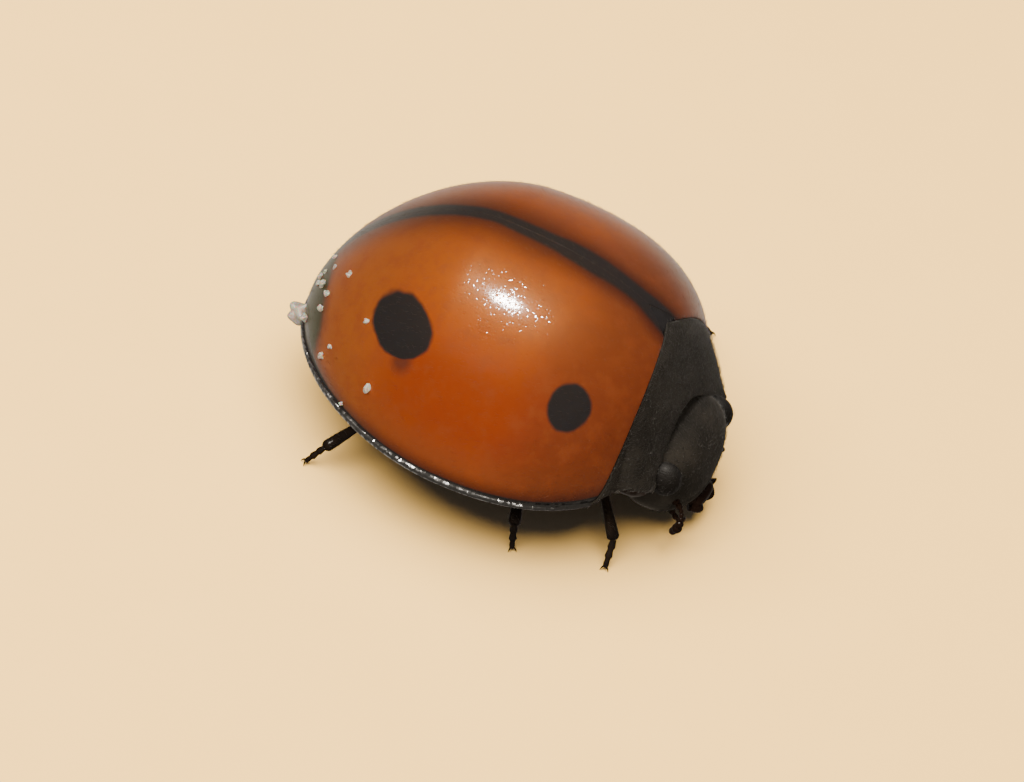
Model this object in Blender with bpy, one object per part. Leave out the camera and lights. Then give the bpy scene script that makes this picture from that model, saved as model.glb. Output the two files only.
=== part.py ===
"""A vedalia ladybird at life size, standing still: plates of the body, eyes, feelers and six legs.

+X points forward, +Y to the beetle's left and +Z up. The origin is on the floor, under the
middle of the model. The shapes are laid out from the tail tip, on the plane of the wing-case
rims, and the empty named ladybird carries all of them to their place.
"""

import math

import bmesh
import bpy
import numpy as np
from mathutils import Vector

MM = 0.001

# The whole beetle
STANCE = 0.68 * MM  # height of the wing-case rims over the floor
ORIGIN_X = 2.25 * MM  # from the tail tip forward to the origin
ORIGIN_Y = 0.35 * MM  # from the midline to the origin, as the left forefoot reaches out
GAP = 0.04 * MM  # clearance between neighbouring pieces
SHELL = 0.50 * MM  # thickness of a wing case

# The dome of the wing cases: half-width and height, each with its place and its two tapers
DOME_HALF_WIDTH = 1.840 * MM
DOME_WIDEST_AT = 2.202 * MM
DOME_WIDTH_ENDS_AT = 3.939 * MM
DOME_TAIL_WIDTH_POWER = 1.80
DOME_FRONT_WIDTH_POWER = 2.43
DOME_HEIGHT = 1.834 * MM
DOME_HIGHEST_AT = 1.798 * MM
DOME_HEIGHT_ENDS_AT = 4.220 * MM
DOME_TAIL_HEIGHT_POWER = 1.705
DOME_FRONT_HEIGHT_POWER = 2.60
DOME_ROUNDNESS = 2.09  # 2 is an elliptic cross-section
TAIL_START = 0.001 * MM  # the first ring, just off the tail tip

# The front edge of the wing cases, and the scutellum in its notch
BASE_AT = 3.586 * MM
BASE_BULGE = 0.155 * MM  # the shoulders stand this far in front of the notch
BASE_SHOULDER = 0.3  # a small power keeps the bulge full near the rim
BASE_NOTCH = 0.9  # a larger one eases it into the notch
SCUTELLUM_TIP_AT = 3.38 * MM
SCUTELLUM_HALF_WIDTH = 0.17 * MM
SCUTELLUM_THICKNESS = 0.30 * MM

# Pronotum with the prothorax under it
PRONOTUM_SHOULDER_AT = 3.760 * MM  # it carries the dome on to here
PRONOTUM_WIDTH_ENDS_AT = 4.500 * MM
PRONOTUM_WIDTH_POWER = 1.70
PRONOTUM_HEIGHT_ENDS_AT = 4.065 * MM
PRONOTUM_HEIGHT_POWER = 1.205
PRONOTUM_FRONT_AT = 4.077 * MM
PRONOTUM_MARGIN = 0.13 * MM  # its side margins lie this far above the rims
PRONOTUM_UNDERSIDE = 0.22 * MM

# Thorax and abdomen, inside the wing cases
TRUNK_TAIL_AT = 0.56 * MM
TRUNK_SPLIT_AT = 2.05 * MM
TRUNK_FRONT_AT = 3.52 * MM
TRUNK_DEPTH = 0.30 * MM  # the belly hangs this far under the rims
TRUNK_DEEPEST_AT = 2.5 * MM
BELLY_POWER = 2.2

# Head, eyes, feelers and mouth
HEAD_CENTRE = (3.92 * MM, 0.0, -0.01 * MM)
HEAD_RADII = (0.42 * MM, 0.67 * MM, 0.51 * MM)
HEAD_BACK = 0.06 * MM  # the head is flat behind, where it meets the prothorax
HEAD_POWER = 2.4
EYE_CENTRE = (4.09 * MM, 0.59 * MM, 0.12 * MM)
EYE_RADII = (0.17 * MM, 0.15 * MM, 0.185 * MM)
FEELERS = {  # in millimetres; the right one hangs before the face, the left one is folded under
    "antenna_right": ((4.16, -0.80, -0.02), (4.29, -0.74, -0.18), (4.28, -0.65, -0.42)),
    "antenna_left": ((4.20, 0.60, -0.36), (4.04, 0.76, -0.42), (3.84, 0.86, -0.44)),
}
FEELER_RADII = (0.20, 0.20, 0.21)
PALP_ROUTE = ((4.08, 0.30, -0.46), (4.22, 0.33, -0.51), (4.31, 0.34, -0.53))
PALP_RADII = (0.06, 0.07, 0.09)
LABRUM_POWER = 2.2
LABRUM_CENTRE = (4.28 * MM, 0.0, -0.375 * MM)
LABRUM_RADII = (0.12 * MM, 0.22 * MM, 0.10 * MM)

# Legs, as routes hip, knee, ankle, toe in millimetres; y is outwards from the midline
LEG_RADIUS = 0.22 * MM
TOE_RADIUS = 0.18 * MM
LEGS = {
    "hind_right": ((1.90, 0.46, -0.26), (1.32, 0.84, -0.24), (0.92, 1.42, -0.45), (0.78, 1.56, -0.52)),
    "mid_right": ((2.56, 0.36, -0.26), (2.74, 0.88, -0.24), (2.91, 1.32, -0.44), (3.00, 1.51, -0.52)),
    "fore_right": ((3.15, 0.28, -0.26), (3.45, 0.65, -0.24), (3.81, 1.00, -0.45), (3.88, 1.21, -0.52)),
    "hind_left": ((1.90, 0.46, -0.26), (1.30, 0.88, -0.24), (0.93, 1.45, -0.45), (0.81, 1.60, -0.52)),
    "mid_left": ((2.56, 0.36, -0.26), (2.70, 1.02, -0.24), (2.72, 1.58, -0.44), (2.74, 1.80, -0.52)),
    "fore_left": ((3.15, 0.28, -0.26), (3.24, 1.32, -0.24), (3.20, 2.22, -0.43), (3.24, 2.52, -0.52)),
}
LEG_PARTS = ("femur", "tibia", "tarsus")


def clear_scene():
    for old in list(bpy.data.objects):
        bpy.data.objects.remove(old, do_unlink=True)


def material(name, colour, roughness, metallic=0.0):
    made = bpy.data.materials.new(name)
    made.use_nodes = True
    shader = made.node_tree.nodes["Principled BSDF"]
    shader.inputs["Base Color"].default_value = (*colour, 1.0)
    shader.inputs["Roughness"].default_value = roughness
    shader.inputs["Metallic"].default_value = metallic
    return made


# ---- the dome ----


def taper(x, full_at, ends_at, power):
    """1 at full_at, falling along a superellipse to 0 at ends_at."""
    reach = np.clip((x - full_at) / (ends_at - full_at), 0.0, 1.0)
    return (1.0 - reach**power) ** (1.0 / power)


def dome_half_width(x):
    behind = taper(x, DOME_WIDEST_AT, 0.0, DOME_TAIL_WIDTH_POWER)
    ahead = taper(x, DOME_WIDEST_AT, DOME_WIDTH_ENDS_AT, DOME_FRONT_WIDTH_POWER)
    return DOME_HALF_WIDTH * np.where(x < DOME_WIDEST_AT, behind, ahead)


def dome_height(x):
    behind = taper(x, DOME_HIGHEST_AT, 0.0, DOME_TAIL_HEIGHT_POWER)
    ahead = taper(x, DOME_HIGHEST_AT, DOME_HEIGHT_ENDS_AT, DOME_FRONT_HEIGHT_POWER)
    return DOME_HEIGHT * np.where(x < DOME_HIGHEST_AT, behind, ahead)


def front_edge(angle):
    """Where the wing cases end, at this angle up from the rim."""
    rise = np.clip(np.sin(2 * angle), 0.0, 1.0)
    power = BASE_SHOULDER + (BASE_NOTCH - BASE_SHOULDER) * angle / math.pi
    return BASE_AT + BASE_BULGE * rise**power


def arc(half_width, height, angle):
    """y and z of a cross-section at this angle up from the rim."""
    power = 2.0 / DOME_ROUNDNESS
    y = half_width * np.abs(np.cos(angle)) ** power * np.sign(np.cos(angle))
    return y, height * np.abs(np.sin(angle)) ** power


def scutellum_half_width(x):
    reach = np.clip((x - SCUTELLUM_TIP_AT) / (BASE_AT - SCUTELLUM_TIP_AT), 0.0, 1.0)
    return SCUTELLUM_HALF_WIDTH * reach


# ---- meshes ----


def mesh_object(name, points, faces, finish, parent):
    mesh = bpy.data.meshes.new(name)
    mesh.from_pydata(np.asarray(points).reshape(-1, 3).tolist(), [], faces)
    shape = bmesh.new()
    shape.from_mesh(mesh)
    bmesh.ops.recalc_face_normals(shape, faces=shape.faces)
    shape.to_mesh(mesh)
    shape.free()
    mesh.shade_smooth()
    mesh.set_sharp_from_angle(angle=math.radians(40))
    mesh.materials.append(finish)
    made = bpy.data.objects.new(name, mesh)
    made.parent = parent
    bpy.context.scene.collection.objects.link(made)
    return made


def grid_faces(rows, columns, first=0, wrap=False):
    """Quads of a grid of points; wrap joins its last column to its first."""
    faces = []
    for row in range(rows - 1):
        for column in range(columns if wrap else columns - 1):
            after = (column + 1) % columns
            low, high = first + row * columns, first + (row + 1) * columns
            faces.append((low + column, low + after, high + after, high + column))
    return faces


def closed_loft(rings, back=None, front=None):
    """Points and faces of rings joined in order, with a fan over each end."""
    rings = np.asarray(rings)
    rows, columns, _ = rings.shape
    back = rings[0].mean(axis=0) if back is None else back
    front = rings[-1].mean(axis=0) if front is None else front
    points = np.concatenate([rings.reshape(-1, 3), [back], [front]])
    faces = grid_faces(rows, columns, wrap=True)
    last_ring = (rows - 1) * columns
    for column in range(columns):
        after = (column + 1) % columns
        faces.append((after, column, rows * columns))
        faces.append((last_ring + column, last_ring + after, rows * columns + 1))
    return points, faces


def closed_shell(outer, inner):
    """Points and faces of two like grids with walls along their four borders."""
    rows, columns, _ = outer.shape
    count = rows * columns
    faces = grid_faces(rows, columns)
    faces += [face[::-1] for face in grid_faces(rows, columns, first=count)]
    border = list(range(columns))
    border += [row * columns + columns - 1 for row in range(1, rows)]
    border += [count - 1 - column for column in range(1, columns)]
    border += [row * columns for row in range(rows - 2, 0, -1)]
    for here, after in zip(border, border[1:] + border[:1]):
        faces.append((after, here, here + count, after + count))
    return np.concatenate([outer.reshape(-1, 3), inner.reshape(-1, 3)]), faces


def superellipsoid(centre, radii, power, rows=14, columns=24, back=None):
    """A rounded block, with its poles at the front and the back, which may be flatter."""
    lift = np.linspace(-math.pi / 2, math.pi / 2, rows + 2)[1:-1, None]
    turn = np.linspace(0, 2 * math.pi, columns, endpoint=False)[None, :]
    bend = 2.0 / power
    slim = np.cos(lift) ** bend
    x = np.sign(np.sin(lift)) * np.abs(np.sin(lift)) ** bend * np.ones_like(turn)
    y = slim * np.sign(np.cos(turn)) * np.abs(np.cos(turn)) ** bend
    z = slim * np.sign(np.sin(turn)) * np.abs(np.sin(turn)) ** bend
    back = radii[0] if back is None else back
    x = x * np.where(x < 0, back, radii[0])
    rings = np.stack([x, y * radii[1], z * radii[2]], axis=-1) + centre
    poles = [np.array(centre) + (reach, 0, 0) for reach in (-back, radii[0])]
    return closed_loft(rings, *poles)


def cut(target, cutter):
    boolean = target.modifiers.new("clear_" + cutter.name, "BOOLEAN")
    boolean.operation = "DIFFERENCE"
    boolean.object = cutter
    cutter.hide_render = True
    cutter.display_type = "WIRE"


# ---- body plates ----


def elytron(side, finish, parent):
    """One wing case: a thick shell from the rim up to the suture."""
    along = np.linspace(0, 1, 27)[:, None] ** 2
    rise = np.array([0, 0.03, 0.08, 0.15, 0.22, 0.30, 0.38, 0.46, 0.54, 0.62, 0.70, 0.78, 0.86, 0.93, 1])
    suture_x = TAIL_START + (BASE_AT - TAIL_START) * along
    clearance = scutellum_half_width(suture_x) + GAP / 2
    ratio = np.clip(clearance / dome_half_width(suture_x), 0.0, 0.9)
    top_angle = np.arccos(ratio ** (DOME_ROUNDNESS / 2))
    top_angle = np.where(suture_x > SCUTELLUM_TIP_AT, top_angle, math.pi / 2)
    angle = top_angle * rise[None, :]
    x = TAIL_START + (front_edge(angle) - TAIL_START) * along
    y, z = arc(dome_half_width(x), dome_height(x), angle)
    outer = np.stack([x, side * (y + GAP / 2), z], axis=-1)
    inner = outer * shell_scale()
    inner[..., 0] = np.where(x < DOME_WIDEST_AT, inside_x(x), x)
    inner[..., 1] += side * GAP / 2 * (1 - shell_scale()[1])
    points, faces = closed_shell(outer, inner)
    name = "elytron_left" if side > 0 else "elytron_right"
    return mesh_object(name, points, faces, finish, parent)


def shell_scale():
    """Scale from the outside of the wing cases to their inside, along, across and up."""
    return np.array([1.0, 1 - SHELL / DOME_HALF_WIDTH, 1 - SHELL / DOME_HEIGHT])


def inside_x(x):
    """Where the inside lies behind the widest place, drawn in by the shell's thickness."""
    return DOME_WIDEST_AT - (DOME_WIDEST_AT - x) * (1 - SHELL / DOME_WIDEST_AT)


def trunk(name, back_at, front_at, finish, parent, rows=12):
    """A length of the body inside the wing cases, from its back to its belly."""
    x = np.linspace(back_at, front_at, rows)
    outside_x = DOME_WIDEST_AT - (DOME_WIDEST_AT - x) / (1 - SHELL / DOME_WIDEST_AT)
    outside_x = np.where(x < DOME_WIDEST_AT, outside_x, x)
    _, across, up = shell_scale()
    half_width = dome_half_width(outside_x) * across - GAP
    height = dome_height(outside_x) * up - GAP
    back_fade = taper(x, TRUNK_DEEPEST_AT, 0.0, 2.0)
    depth = TRUNK_DEPTH * np.where(x < TRUNK_DEEPEST_AT, back_fade, 1.0)
    above = np.linspace(0, math.pi, 17)[None, :]
    below = np.linspace(math.pi, 2 * math.pi, 17)[None, 1:-1]
    top_y, top_z = arc(half_width[:, None], height[:, None], above)
    low_y = half_width[:, None] * np.cos(below)
    low_z = -depth[:, None] * np.abs(np.sin(below)) ** BELLY_POWER
    y = np.concatenate([top_y, low_y], axis=1)
    z = np.concatenate([top_z, low_z], axis=1)
    rings = np.stack([np.broadcast_to(x[:, None], y.shape), y, z], axis=-1)
    return mesh_object(name, *closed_loft(rings), finish, parent)


def scutellum(finish, parent):
    """The small triangle between the bases of the wing cases."""
    x = np.linspace(SCUTELLUM_TIP_AT + 2 * GAP, BASE_AT, 5)[:, None]
    across = np.linspace(-1, 1, 7)[None, :]
    half_width = scutellum_half_width(x) - GAP / 2
    y = half_width * across
    z = dome_height(x) * np.ones_like(across)
    outer = np.stack([x * np.ones_like(across), y, z], axis=-1)
    inner = outer - np.array([0, 0, SCUTELLUM_THICKNESS])
    return mesh_object("scutellum", *closed_shell(outer, inner), finish, parent)


def pronotum(finish, parent):
    """The neck shield, arched like the wing cases and closed below by the prothorax."""
    above = np.linspace(0, math.pi, 25)
    below = np.linspace(math.pi, 2 * math.pi, 17)[1:-1]
    along = np.sin(np.linspace(0, math.pi / 2, 13))[:, None]
    edge = front_edge(np.minimum(above, math.pi - above)) + GAP
    top_x = edge + (PRONOTUM_FRONT_AT - edge) * along
    base_x = np.minimum(top_x, PRONOTUM_SHOULDER_AT)
    narrowing = taper(top_x, PRONOTUM_SHOULDER_AT, PRONOTUM_WIDTH_ENDS_AT, PRONOTUM_WIDTH_POWER)
    lowering = taper(top_x, PRONOTUM_SHOULDER_AT, PRONOTUM_HEIGHT_ENDS_AT, PRONOTUM_HEIGHT_POWER)
    half_width = dome_half_width(base_x) * narrowing
    arch = np.maximum(dome_height(base_x) * lowering - PRONOTUM_MARGIN, GAP)
    top_y, top_z = arc(half_width, arch, above)
    low_y = half_width[:, :1] * np.cos(below)
    drop = PRONOTUM_MARGIN + PRONOTUM_UNDERSIDE
    low_z = -drop * np.abs(np.sin(below)) * np.ones_like(low_y)
    x = np.concatenate([top_x, top_x[:, :1] * np.ones_like(below)], axis=1)
    y = np.concatenate([top_y, low_y], axis=1)
    z = np.concatenate([top_z, low_z], axis=1) + PRONOTUM_MARGIN
    hollow = np.array([BASE_AT + BASE_BULGE + GAP, 0, DOME_HEIGHT / 4])
    rings = np.stack([x, y, z], axis=-1)
    return mesh_object("pronotum", *closed_loft(rings, back=hollow), finish, parent)


# ---- head ----


def head(name, by, finish, parent):
    """The head, or the room that it takes when it is grown by a clearance."""
    shape = superellipsoid(HEAD_CENTRE, grown(HEAD_RADII, by), HEAD_POWER, back=HEAD_BACK + by)
    return mesh_object(name, *shape, finish, parent)


def grown(radii, by):
    return tuple(radius + by for radius in radii)


def sided(centre, side):
    return (centre[0], side * centre[1], centre[2])


def side_name(side):
    return "left" if side > 0 else "right"


# ---- legs and feelers ----


def directions(route):
    return [(after - here).normalized() for here, after in zip(route, route[1:])]


def joint_normals(route):
    """The plane in which each joint is cut: square at the ends, halfway round at a bend."""
    ways = directions(route)
    middle = [(before + after).normalized() for before, after in zip(ways, ways[1:])]
    return [ways[0], *middle, ways[-1]]


def limb_rings(route, radii, first, last, gap=0.0, rows=5, sides=12):
    """Rings along a limb, from joint first to joint last, each end short of its joint by gap."""
    ways = directions(route)
    normals = joint_normals(route)
    rings = []
    for part in range(first, last):
        way = ways[part]
        up = (Vector((0, 0, 1)) - way * way.z).normalized()
        across = way.cross(up)
        start = 0 if part == first else 1
        for row in range(start, rows):
            share = row / (rows - 1)
            centre = route[part].lerp(route[part + 1], share)
            if row == 0:
                centre = centre + way * gap
            if row == rows - 1 and part == last - 1:
                centre = centre - way * gap
            normal = normals[part].lerp(normals[part + 1], share)
            radius = radii[part] + (radii[part + 1] - radii[part]) * share
            ring = []
            for step in range(sides):
                turn = 2 * math.pi * step / sides
                off = (across * math.cos(turn) + up * math.sin(turn)) * radius
                ring.append(centre + off - way * (off.dot(normal) / way.dot(normal)))
            rings.append([tuple(point) for point in ring])
    return np.array(rings)


def route_of(points, side):
    return [Vector((x, side * y, z)) * MM for x, y, z in points]


def feeler(name, route, radii, finish, parent):
    """An antenna or a palp, bent at its middle point."""
    rings = limb_rings(route, [radius * MM for radius in radii], 0, len(route) - 1)
    return mesh_object(name, *closed_loft(rings), finish, parent)


def on_floor(rings):
    """Flattens what reaches below the floor into a sole."""
    rings[..., 2] = np.maximum(rings[..., 2], -STANCE)
    return rings


def leg(name, points, finish, parent):
    """Femur, tibia and tarsus, and the shape of the room that they take."""
    side = 1 if name.endswith("left") else -1
    route = route_of(points, side)
    radii = [LEG_RADIUS, LEG_RADIUS, LEG_RADIUS, TOE_RADIUS]
    for part, part_name in enumerate(LEG_PARTS):
        rings = on_floor(limb_rings(route, radii, part, part + 1, gap=GAP / 2))
        mesh_object(f"{part_name}_{name}", *closed_loft(rings), finish, parent)
    hip = route[0] - directions(route)[0] * GAP
    room = limb_rings([hip, *route[1:]], [radius + GAP for radius in radii], 0, 3)
    return mesh_object(f"room_{name}", *closed_loft(room), finish, parent)


def build():
    clear_scene()
    carrier = bpy.data.objects.new("ladybird", None)
    carrier.location = (-ORIGIN_X, -ORIGIN_Y, STANCE)
    bpy.context.scene.collection.objects.link(carrier)

    amber = material("elytron_chitin", (0.42, 0.085, 0.012), 0.22)
    black = material("pronotum_chitin", (0.012, 0.010, 0.009), 0.55)
    belly = material("sternite_chitin", (0.030, 0.014, 0.009), 0.45)
    limb = material("leg_chitin", (0.018, 0.013, 0.011), 0.40)
    eye = material("eye_facets", (0.008, 0.007, 0.008), 0.15)
    brown = material("feeler_chitin", (0.120, 0.050, 0.022), 0.40)

    for side in (1, -1):
        elytron(side, amber, carrier)
    scutellum(black, carrier)
    shield = pronotum(black, carrier)
    abdomen = trunk("abdomen", TRUNK_TAIL_AT, TRUNK_SPLIT_AT - GAP, belly, carrier)
    thorax = trunk("thorax", TRUNK_SPLIT_AT, TRUNK_FRONT_AT, belly, carrier)

    face = head("head", 0.0, black, carrier)
    face_room = head("room_head", GAP, black, carrier)
    cut(shield, face_room)
    for side in (1, -1):
        centre = sided(EYE_CENTRE, side)
        mesh_object(f"eye_{side_name(side)}", *superellipsoid(centre, EYE_RADII, 2, 8, 16), eye, carrier)
        socket = superellipsoid(centre, grown(EYE_RADII, GAP), 2, 8, 16)
        socket = mesh_object(f"room_eye_{side_name(side)}", *socket, black, carrier)
        cut(face, socket)
        cut(shield, socket)
        palp = feeler(f"palp_{side_name(side)}", route_of(PALP_ROUTE, side), PALP_RADII, brown, carrier)
        cut(palp, face_room)
        name = f"antenna_{side_name(side)}"
        antenna = feeler(name, route_of(FEELERS[name], 1), FEELER_RADII, brown, carrier)
        cut(antenna, face_room)
        cut(antenna, socket)
    labrum = superellipsoid(LABRUM_CENTRE, LABRUM_RADII, LABRUM_POWER, 6, 16)
    cut(mesh_object("labrum", *labrum, brown, carrier), face_room)

    for name, points in LEGS.items():
        room = leg(name, points, limb, carrier)
        for plate in (abdomen, thorax, shield):
            cut(plate, room)


build()
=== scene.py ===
import math
import bpy
import numpy as np
from mathutils import Matrix, Vector


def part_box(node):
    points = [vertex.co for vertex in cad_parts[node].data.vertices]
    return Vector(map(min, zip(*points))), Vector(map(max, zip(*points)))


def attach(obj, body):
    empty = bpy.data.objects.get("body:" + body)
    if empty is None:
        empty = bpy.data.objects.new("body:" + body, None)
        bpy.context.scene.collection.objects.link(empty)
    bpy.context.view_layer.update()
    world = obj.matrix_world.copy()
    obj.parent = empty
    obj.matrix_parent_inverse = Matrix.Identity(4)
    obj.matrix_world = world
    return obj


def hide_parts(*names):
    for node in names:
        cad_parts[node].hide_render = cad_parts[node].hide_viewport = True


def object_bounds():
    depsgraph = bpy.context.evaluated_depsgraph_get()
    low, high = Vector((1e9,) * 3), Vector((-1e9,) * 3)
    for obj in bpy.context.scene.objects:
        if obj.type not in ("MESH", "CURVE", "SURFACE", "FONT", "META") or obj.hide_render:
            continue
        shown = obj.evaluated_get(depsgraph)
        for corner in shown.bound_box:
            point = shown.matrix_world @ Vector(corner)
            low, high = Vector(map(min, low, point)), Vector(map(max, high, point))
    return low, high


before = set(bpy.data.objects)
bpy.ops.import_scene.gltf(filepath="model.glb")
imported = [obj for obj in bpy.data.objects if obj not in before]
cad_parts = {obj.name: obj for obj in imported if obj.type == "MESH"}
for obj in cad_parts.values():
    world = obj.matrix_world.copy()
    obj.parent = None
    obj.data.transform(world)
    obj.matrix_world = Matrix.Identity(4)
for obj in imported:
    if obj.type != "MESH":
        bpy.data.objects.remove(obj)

cadBox = [list(corner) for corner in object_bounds()]

# The beetle's own space is in millimetres: x forward from the tail tip, y to its left
# from the midline, z up from the plane of the wing-case rims.
mm = 0.001
leftCase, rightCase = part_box("elytron_left"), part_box("elytron_right")
origin = np.array([leftCase[0].x, (leftCase[1].y + rightCase[0].y) / 2, leftCase[0].z])
floorLevel = (cadBox[0][2] - origin[2]) / mm  # where the soles stand, below the rims
print("frame loaded, rims", round(-floorLevel, 3), "mm over the floor")

caseGap = 0.04  # between the solids of the two wing cases
dome = {
    "halfWidth": (leftCase[1].y - origin[1]) / mm - caseGap / 2, "height": (leftCase[1].z - origin[2]) / mm,
    "tailStart": 0.001,  # the first ring, just off the tail tip
    "widestAt": 2.202, "widthEndsAt": 3.939, "tailWidthPower": 1.80, "frontWidthPower": 2.43,
    "highestAt": 1.798, "heightEndsAt": 4.220, "tailHeightPower": 1.705, "frontHeightPower": 2.60,
    "roundness": 2.09,  # 2 would be an elliptic cross-section
    # the front edge: where its notch is, how far the shoulders pass it, and the powers that
    # shape it at the rim and at the notch
    "baseAt": 3.586, "baseBulge": 0.155, "baseShoulder": 0.3, "baseNotch": 0.9,
}
scutellum = {
    "tipAt": 3.38, "halfWidth": 0.17, "drop": 0.012, "crown": 0.012, "thickness": 0.10,
    "tipInset": 0.02, "baseReach": 0.03, "overlap": 0.004, "rows": 24, "columns": 25,
}


# 1 at fullAt, falling along a superellipse to 0 at endsAt
def taper(x, fullAt, endsAt, power):
    reach = np.clip((x - fullAt) / (endsAt - fullAt), 0.0, 1.0)
    return (1.0 - reach ** power) ** (1.0 / power)


# the widest half-width, tapered to the tail and to the front
def domeHalfWidth(x):
    behind = taper(x, dome["widestAt"], 0.0, dome["tailWidthPower"])
    ahead = taper(x, dome["widestAt"], dome["widthEndsAt"], dome["frontWidthPower"])
    return dome["halfWidth"] * behind * ahead  # each is 1 past the widest place


# the greatest height, tapered to the tail and to the front
def domeHeight(x):
    behind = taper(x, dome["highestAt"], 0.0, dome["tailHeightPower"])
    ahead = taper(x, dome["highestAt"], dome["heightEndsAt"], dome["frontHeightPower"])
    return dome["height"] * behind * ahead  # each is 1 past the highest place


# where the wing cases end in front, at an angle up from the rim: they bulge past the notch by
# a power of the sine of twice the angle
def frontEdge(angle):
    rise = np.clip(np.sin(2 * angle), 0.0, 1.0)
    power = dome["baseShoulder"] + (dome["baseNotch"] - dome["baseShoulder"]) * angle / math.pi
    return dome["baseAt"] + dome["baseBulge"] * rise ** power


# y and z of a superelliptic cross-section, at an angle up from the rim
def arch(halfWidth, height, angle):
    power = 2.0 / dome["roundness"]
    y = halfWidth * np.abs(np.cos(angle)) ** power * np.sign(np.cos(angle))
    return y, height * np.abs(np.sin(angle)) ** power


# the scutellum widens evenly from its tip to the front edge
def scutellumHalfWidth(x):
    reach = np.clip((x - scutellum["tipAt"]) / (dome["baseAt"] - scutellum["tipAt"]), 0.0, 1.0)
    return scutellum["halfWidth"] * reach


# values from 0 to 1, closer together at both ends, and a power over 1 crowds the first end
def easedSteps(count, power):
    return (0.5 - 0.5 * np.cos(np.linspace(0, math.pi, count))) ** power


# quads between neighbouring rows and columns of a grid of points
def gridQuads(rows, columns, wrap=False, first=0):
    row = np.arange(rows - 1)[:, None] * columns
    column = np.arange(columns if wrap else columns - 1)[None, :]
    after = (column + 1) % columns
    quads = np.stack([row + column, row + after, row + columns + after, row + columns + column], axis=-1)
    return quads.reshape(-1, 4) + first


# unit normals of a grid: the cross product of its two gradients, turned away from a centre
def outwardNormals(grid, centre):
    normals = np.cross(np.gradient(grid, axis=1), np.gradient(grid, axis=0))
    shortest = 1e-12  # keeps the poles, where a gradient is 0, from a division by 0
    normals /= np.maximum(np.linalg.norm(normals, axis=-1, keepdims=True), shortest)
    return -normals if ((grid - centre) * normals).sum(axis=-1).mean() < 0 else normals


# distance along a grid's rows or columns from its first point
def arcLength(grid, axis):
    steps = np.linalg.norm(np.diff(grid, axis=axis), axis=-1)
    zero = np.zeros_like(np.take(steps, [0], axis=axis))
    return np.cumsum(np.concatenate([zero, steps], axis=axis), axis=axis)


# whether triangles face outward: the volumes that they span with the origin add up to more than 0
def turnedOutward(points, triangles):
    a, b, c = (points[triangles[:, corner]] for corner in range(3))
    return np.einsum("ij,ij->i", a, np.cross(b, c)).sum() >= 0


# one closed piece from points in the beetle's space, with its quads and triangles turned outward
def piece(name, points, quads, triangles, finish, slotName, replaced=(), uv=None, rim=None):
    triangles = np.zeros((0, 3), int) if triangles is None else triangles
    asTriangles = np.concatenate([quads[:, [0, 1, 2]], quads[:, [0, 2, 3]], triangles])
    if not turnedOutward(points, asTriangles):
        quads, triangles = quads[:, ::-1], triangles[:, ::-1]
    mesh = bpy.data.meshes.new(name)
    mesh.from_pydata((points * mm + origin).tolist(), [], quads.tolist() + triangles.tolist())
    mesh.shade_smooth()
    mesh.materials.append(finish)
    if rim:  # a second finish on the faces under a height
        mesh.materials.append(rim[0])
        heights = np.concatenate([points[quads, 2].max(axis=1), points[triangles, 2].max(axis=1)])
        mesh.polygons.foreach_set("material_index", (heights < rim[1]).astype(np.int32))
    if uv is not None:
        layer = mesh.uv_layers.new(name="OFBake")
        corners = np.zeros(len(mesh.loops), np.int32)
        mesh.loops.foreach_get("vertex_index", corners)
        layer.data.foreach_set("uv", uv[corners].astype(np.float32).ravel())
    made = bpy.data.objects.new(name, mesh)
    bpy.context.scene.collection.objects.link(made)
    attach(made, "root")
    if replaced:
        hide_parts(*replaced)


# two like grids, walled along their four borders
def shellFaces(rows, columns):
    count = rows * columns
    outer = gridQuads(rows, columns)
    inner = gridQuads(rows, columns, first=count)[:, ::-1]
    border = np.concatenate([
        np.arange(columns - 1), np.arange(rows - 1) * columns + columns - 1,
        count - 1 - np.arange(columns - 1), (rows - 1 - np.arange(rows - 1)) * columns])
    after = np.roll(border, -1)
    walls = np.stack([after, border, border + count, after + count], axis=-1)
    return np.concatenate([outer, inner, walls])


# a shell between an outer and an inner grid
def shellPiece(name, outer, inner, *finishing, **more):
    points = np.concatenate([outer.reshape(-1, 3), inner.reshape(-1, 3)])
    piece(name, points, shellFaces(*outer.shape[:2]), None, *finishing, **more)


# rings joined in order, with a fan over each end
def loftFaces(rows, columns):
    column = np.arange(columns)
    after = (column + 1) % columns
    last = (rows - 1) * columns
    back = np.stack([after, column, np.full(columns, rows * columns)], axis=-1)
    front = np.stack([last + column, last + after, np.full(columns, rows * columns + 1)], axis=-1)
    return gridQuads(rows, columns, wrap=True), np.concatenate([back, front])


# the rings' points, and the middle of each end
def loftPoints(rings):
    return np.concatenate([rings.reshape(-1, 3), rings[:1].mean(axis=1), rings[-1:].mean(axis=1)])


def loftPiece(name, rings, *finishing):
    piece(name, loftPoints(rings), *loftFaces(*rings.shape[:2]), *finishing)


# several lofts of one size in one mesh
def loftsPiece(name, lofts, *finishing):
    quads, triangles = loftFaces(*lofts[0].shape[:2])
    points = [loftPoints(rings) for rings in lofts]
    starts = np.arange(len(lofts))[:, None, None] * len(points[0])
    quads = (quads[None] + starts).reshape(-1, 4)
    triangles = (triangles[None] + starts).reshape(-1, 3)
    piece(name, np.concatenate(points), quads, triangles, *finishing)


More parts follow.
